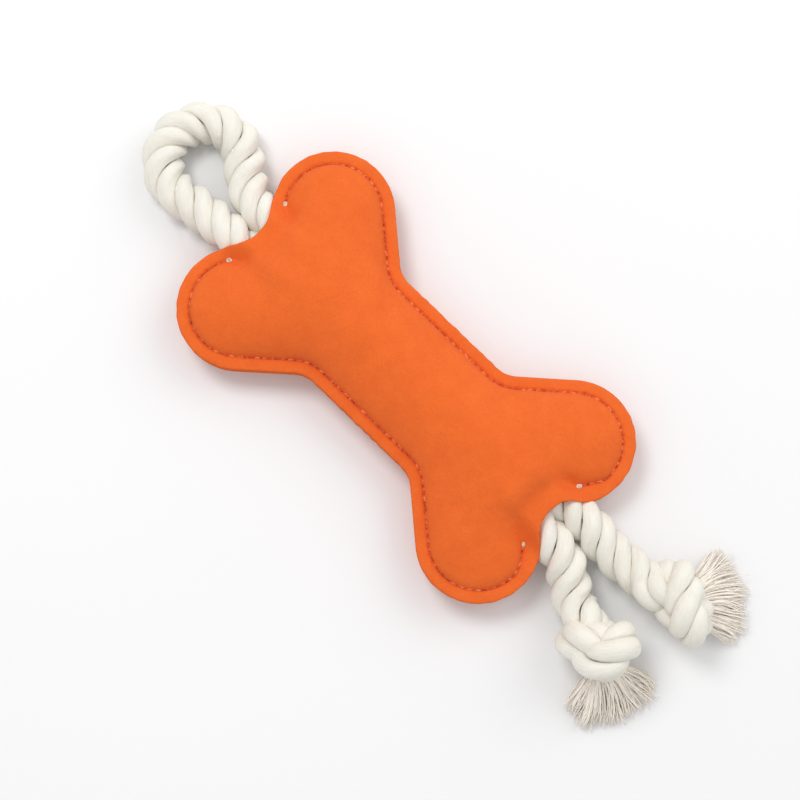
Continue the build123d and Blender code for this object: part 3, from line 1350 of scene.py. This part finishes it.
def wound_knot(centre, size, turns, seed):
    """A small knot of thread: a line wound over a flattened ball."""
    draw = np.random.default_rng(seed)
    tilt = draw.uniform(0, math.pi)
    line = []
    steps = WINDING_STEPS * turns
    for k in range(steps + 1):
        angle = 2 * math.pi * turns * k / steps
        swing = 2 * math.pi * (turns - 1) * k / steps + tilt
        r = size * (WINDING_RADIUS + WINDING_SWING * math.cos(swing))
        x = centre[0] + r * math.cos(angle)
        y = centre[1] + r * math.sin(angle)
        z = centre[2] + WINDING_HEIGHT * size * math.sin(swing)
        line.append((x, y, z))
    return line


def make_tacks(plan, faces, thread):
    """The thread tacks at the seams' ends, knotted above and below the felt."""
    read = {way: height_reader(plan, faces[way]) for way in (1, -1)}
    for number, (end, side, way, sign, size) in enumerate(TACKS):
        angle = math.radians(TACK_ANGLE)
        reach = LOBE_RADIUS - SEAM_INSET
        x = way * (LOBE[0] + reach * math.cos(angle))
        y = sign * (LOBE[1] + reach * math.sin(angle))
        x, y = drawn_in(np.array([(x, y)]), SEAM_INSET)[0]
        parts = []
        for direction in (1, -1):
            height = read[direction](x, y) + direction * TACK_LIFT
            line = wound_knot((x, y, height), size, TACK_TURNS, TACK_SEED + number)
            parts.append(tube(line, TACK_THREAD, 7))
        heights = np.linspace(read[-1](x, y), read[1](x, y), SHANK_STEPS + 1)
        parts.append(tube([(x, y, z) for z in heights], TACK_SHANK, 8))
        piece = joined(f"tack_knot_{end}_{side}", parts, thread)
        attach(piece, "bone")
        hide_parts(f"tack_{end}_{side}")


# ---- inside the bone

RUN_Y = 6.6
RUN_HALF_LENGTH = 55.0
FILLING_INSET = 6.5
FILLING_GAP = 0.35
FILLING_LUMPS = 0.25
FILLING_HALF_LEAST = 0.1
CHANNEL_GAP = 0.6
CHANNEL_HALF_LENGTH = 90
CHANNEL_RINGS = 19
CHANNEL_SIDES = 24


def make_runs(rope):
    """The two ropes inside the bone, between the loop's and the tails' ends."""
    for side, y, seed in (("left", -RUN_Y, 31), ("right", RUN_Y, 32)):
        line = [(-RUN_HALF_LENGTH, y, SEAM_HEIGHT), (RUN_HALF_LENGTH, y, SEAM_HEIGHT)]
        size = lambda place: MOUTH_ROPE
        piece, _ = rope_strands(f"rope_run_{side}_strands", line, size, rope, seed)
        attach(piece, "bone")
        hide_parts(f"rope_run_{side}")


def make_filling(plan, faces, material):
    """The fibre filling between the panels, with a channel for the ropes."""
    points, triangles, insets = plan
    keep = (insets > FILLING_INSET)[triangles].all(axis=1)
    kept = triangles[keep]
    used = np.unique(kept)
    number = {old: new for new, old in enumerate(used)}
    kept = np.array([[number[v] for v in face] for face in kept.tolist()])
    lumps = FILLING_LUMPS * fine_wave(points[used, 0], points[used, 1])
    top = faces[1][used] - FELT - FILLING_GAP + np.minimum(lumps, 0)
    bottom = faces[-1][used] + FELT + FILLING_GAP - np.minimum(lumps, 0)
    middle = 0.5 * (top + bottom)
    top = np.maximum(top, middle + FILLING_HALF_LEAST)
    bottom = np.minimum(bottom, middle - FILLING_HALF_LEAST)
    flat = points[used]
    count = len(used)
    vertices = np.concatenate([np.column_stack([flat, top]), np.column_stack([flat, bottom])])
    edges = {}
    for a, b, c in kept.tolist():
        for edge in ((a, b), (b, c), (c, a)):
            edges[edge] = True
    walls = [(b, a, a + count, b + count) for a, b in edges if (b, a) not in edges]
    skin = kept.tolist() + (kept[:, ::-1] + count).tolist() + walls
    piece = mesh_object("filling_fibre", vertices, skin, material)
    bores = []
    for y in (-RUN_Y, RUN_Y):
        places = np.linspace(-CHANNEL_HALF_LENGTH, CHANNEL_HALF_LENGTH, CHANNEL_RINGS)
        line = [(x, y, SEAM_HEIGHT) for x in places]
        bores.append(tube(line, 0.5 * ROPE + CHANNEL_GAP, CHANNEL_SIDES))
    channel = joined("channel", bores, material)
    cut = piece.modifiers.new("channel", "BOOLEAN")
    cut.object = channel
    cut.operation = "DIFFERENCE"
    cut.use_self = True
    bpy.context.view_layer.objects.active = piece
    bpy.ops.object.modifier_apply(modifier="channel")
    bpy.data.objects.remove(channel)
    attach(piece, "bone")
    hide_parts("filling")


# ---- floor and light

FLOOR_SIZE = 4
SKY_STRENGTH = 0.70

# Each lamp: metres towards the picture's right, its top and up; size; power
LAMPS = [
    ("key_light", (-0.35, 0.42, 1.0), 0.45, 4.5),
    ("fill_light", (0.75, 0.45, 0.75), 0.9, 3.2),
]


def make_stage():
    """A pale floor, a white sky and two lamps."""
    right, top = picture_axes()
    bpy.ops.mesh.primitive_plane_add(size=FLOOR_SIZE)
    floor = bpy.context.object
    floor.name = "floor"
    floor.data.materials.append(floor_material())
    world = bpy.data.worlds.new("studio")
    world.use_nodes = True
    sky = world.node_tree.nodes["Background"]
    sky.inputs["Color"].default_value = (1, 1, 1, 1)
    sky.inputs["Strength"].default_value = SKY_STRENGTH
    bpy.context.scene.world = world
    for name, (across, up, height), size, power in LAMPS:
        lamp(name, across * right + up * top + Vector((0, 0, height)), size, power)
    bpy.context.scene.view_settings.view_transform = "Standard"


def lamp(name, place, size, power):
    """A round lamp that points at the object."""
    data = bpy.data.lights.new(name, "AREA")
    data.shape = "DISK"
    data.size = size
    data.energy = power
    light = bpy.data.objects.new(name, data)
    light.location = place
    light.rotation_euler = (-Vector(place)).to_track_quat("-Z", "Y").to_euler()
    bpy.context.collection.objects.link(light)


# ---- the whole object


def main():
    """The whole object and its stage."""
    make_camera()
    rope = rope_material()
    make_ropes(rope, fray_material())
    plan, faces = make_felt()
    make_runs(rope)
    # The seam thread's dark tone is painted shade and its light tone painted glints
    seam_thread = thread_material("seam_thread", *SEAM_THREAD_SHADE_AND_GLINT_TONES)
    make_stitches(plan, faces, seam_thread)
    tack_thread = thread_material("tack_thread", *TACK_THREAD_TONES)
    make_tacks(plan, faces, tack_thread)
    make_filling(plan, faces, filling_material())
    make_stage()


main()
